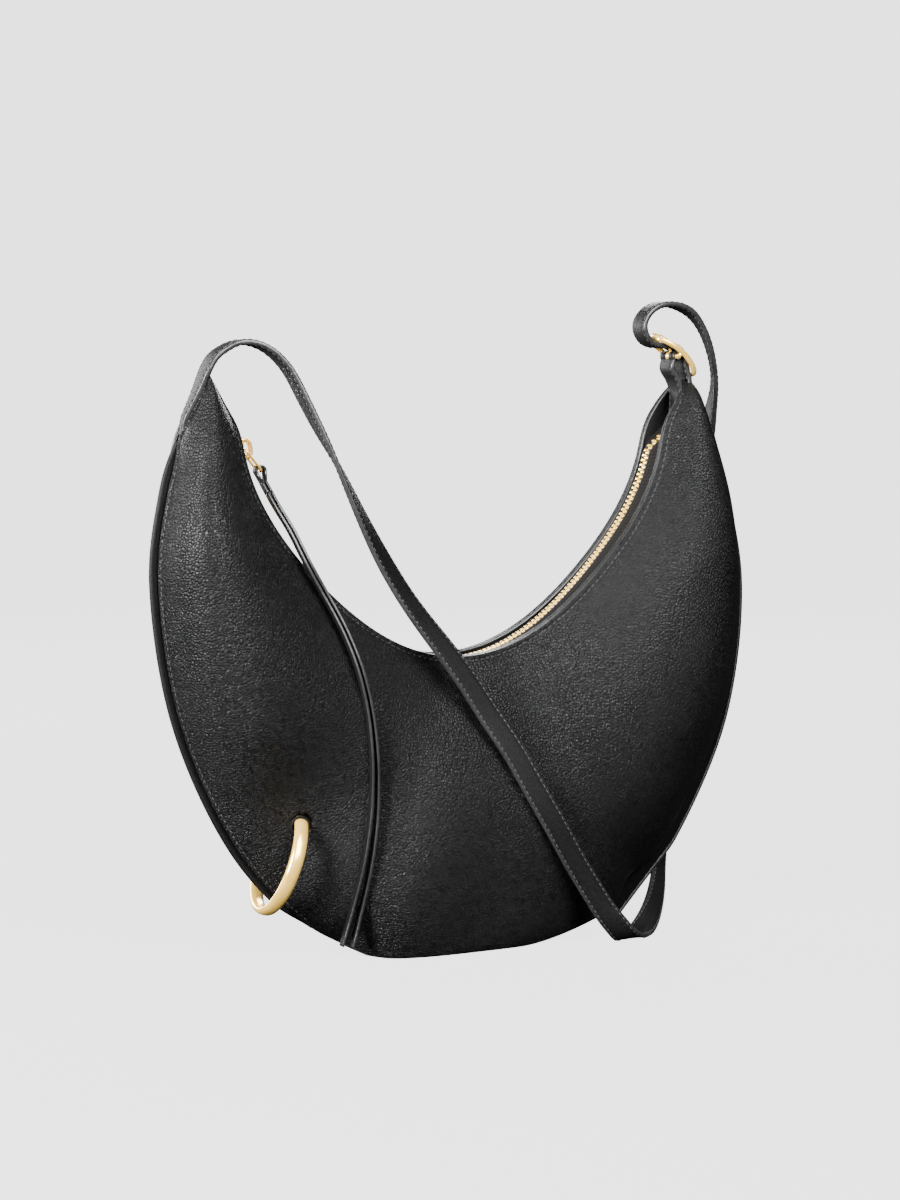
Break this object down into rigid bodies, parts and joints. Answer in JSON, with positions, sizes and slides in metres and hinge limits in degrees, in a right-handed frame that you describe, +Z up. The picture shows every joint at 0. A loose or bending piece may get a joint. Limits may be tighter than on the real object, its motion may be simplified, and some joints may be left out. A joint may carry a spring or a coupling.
{
  "type": "crossbody bag",
  "caption": "Crescent crossbody bag in black pebbled leather with a curved metal zip, a ring through one corner, a long leather zip pull and a buckled shoulder strap.",
  "frame": {"origin": "middle of the flat base, at the level of the ground it stands on", "axes": "+X from the horn with the zip slider towards the horn with the buckle, -Y out of the front panel, +Z up"},
  "size_m": [0.3555, 0.088, 0.343],
  "materials": {
    "pebbled_black_leather": "pebbled grain, low sheen",
    "painted_edge_leather": "smooth, painted edges",
    "dark_lining_cloth": "matte woven",
    "zip_tape_cloth": "matte woven tape",
    "pale_gold_metal": "polished pale gold plating",
    "stiffening_board": "matte"
  },
  "bodies": {
    "bag": {"front_panel": "pebbled_black_leather", "back_panel": "pebbled_black_leather", "base_panel": "pebbled_black_leather", "base_board": "stiffening_board", "front_lining": "dark_lining_cloth", "back_lining": "dark_lining_cloth", "left_welt": "painted_edge_leather", "right_welt": "painted_edge_leather", "front_zip_tape": "zip_tape_cloth", "back_zip_tape": "zip_tape_cloth", "front_zip_teeth": "pale_gold_metal", "back_zip_teeth": "pale_gold_metal", "front_top_stop": "pale_gold_metal", "back_top_stop": "pale_gold_metal", "bottom_stop": "pale_gold_metal", "front_ring_facing": "painted_edge_leather", "back_ring_facing": "painted_edge_leather", "shoulder_strap": "pebbled_black_leather", "buckle_tab": "pebbled_black_leather"},
    "slider": {"zip_slider": "pale_gold_metal", "slider_bail": "pale_gold_metal"},
    "link": {"puller_link": "pale_gold_metal"},
    "pull": {"leather_pull": "painted_edge_leather"},
    "ring": {"corner_ring": "pale_gold_metal"},
    "buckle": {"buckle_frame": "pale_gold_metal"},
    "prong": {"buckle_prong": "pale_gold_metal"}
  },
  "joints": [
    {"name": "slider_travel", "type": "hinge", "parent": "bag", "child": "slider", "pos_m": [0.003, 0, 0.281], "axis": [0, -1, 0], "range_deg": [0, 158], "deforming": ["front_zip_tape", "back_zip_tape", "front_zip_teeth", "back_zip_teeth"]},
    {"name": "link_hang", "type": "hinge", "parent": "slider", "child": "link", "pos_m": [-0.11668, 0, 0.26586], "axis": [0, -1, 0], "range_deg": [-1, 96]},
    {"name": "thong_swing", "type": "hinge", "parent": "link", "child": "pull", "pos_m": [-0.10723, 0, 0.25447], "axis": [0, -1, 0], "range_deg": [-254, 1], "deforming": ["leather_pull"]},
    {"name": "ring_turn", "type": "hinge", "parent": "bag", "child": "ring", "pos_m": [-0.09799, 0, 0.0534], "axis": [0.9305, -0.1308, -0.342], "continuous": true},
    {"name": "buckle_swing", "type": "hinge", "parent": "bag", "child": "buckle", "pos_m": [0.1395, 0, 0.313], "axis": [0, -1, 0], "range_deg": [-2, 1.5]},
    {"name": "prong_lift", "type": "hinge", "parent": "buckle", "child": "prong", "pos_m": [0.1395, 0, 0.313], "axis": [0, -1, 0], "range_deg": [-45, 0]}
  ],
  "couplings": [
    {"joint": "link_hang", "follows": "slider_travel", "ratio": 0.6},
    {"joint": "thong_swing", "follows": "slider_travel", "ratio": -1.6}
  ]
}
